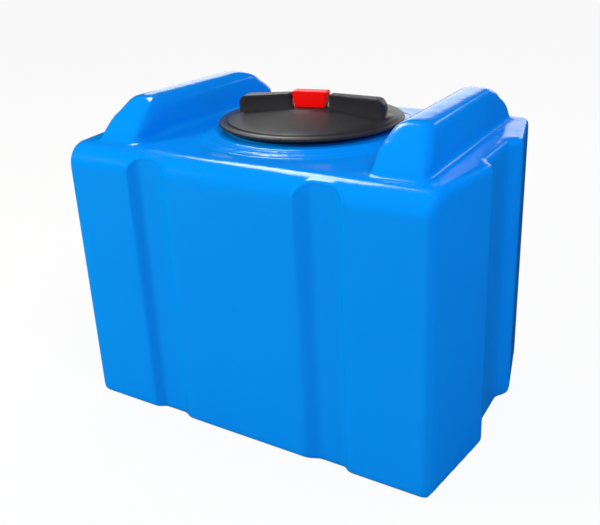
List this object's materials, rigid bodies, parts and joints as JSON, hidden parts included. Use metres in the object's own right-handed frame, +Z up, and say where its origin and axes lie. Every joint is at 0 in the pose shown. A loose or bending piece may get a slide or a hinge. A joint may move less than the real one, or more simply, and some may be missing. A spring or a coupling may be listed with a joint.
{
  "type": "water tank",
  "caption": "Hollow rotationally moulded water tank with raised saddle humps, strap channels, pinched ends and a wide screw lid with a grip bar and vent.",
  "frame": {"origin": "centre of the tank's footprint on the floor", "axes": "+X along the tank's length, -Y towards the front wall, +Z up"},
  "size_m": [0.8374, 0.564, 0.646],
  "materials": {
    "tank": "satin, finely pebbled",
    "lid": "satin",
    "vent": "smooth",
    "seal": "matt"
  },
  "bodies": {
    "tank": {"tank_body": "tank"},
    "seal": {"lid_gasket": "seal"},
    "lid": {"lid": "lid", "vent_cap": "vent", "vent_membrane": "seal"}
  },
  "joints": [
    {"name": "lid_lift", "type": "slide", "parent": "tank", "child": "seal", "axis": [0, 0, 1], "range_m": [0, 0.15]},
    {"name": "lid_turn", "type": "hinge", "parent": "seal", "child": "lid", "pos_m": [0, 0.025, 0.591], "axis": [0, 0, 1], "range_deg": [0, 540]}
  ]
}
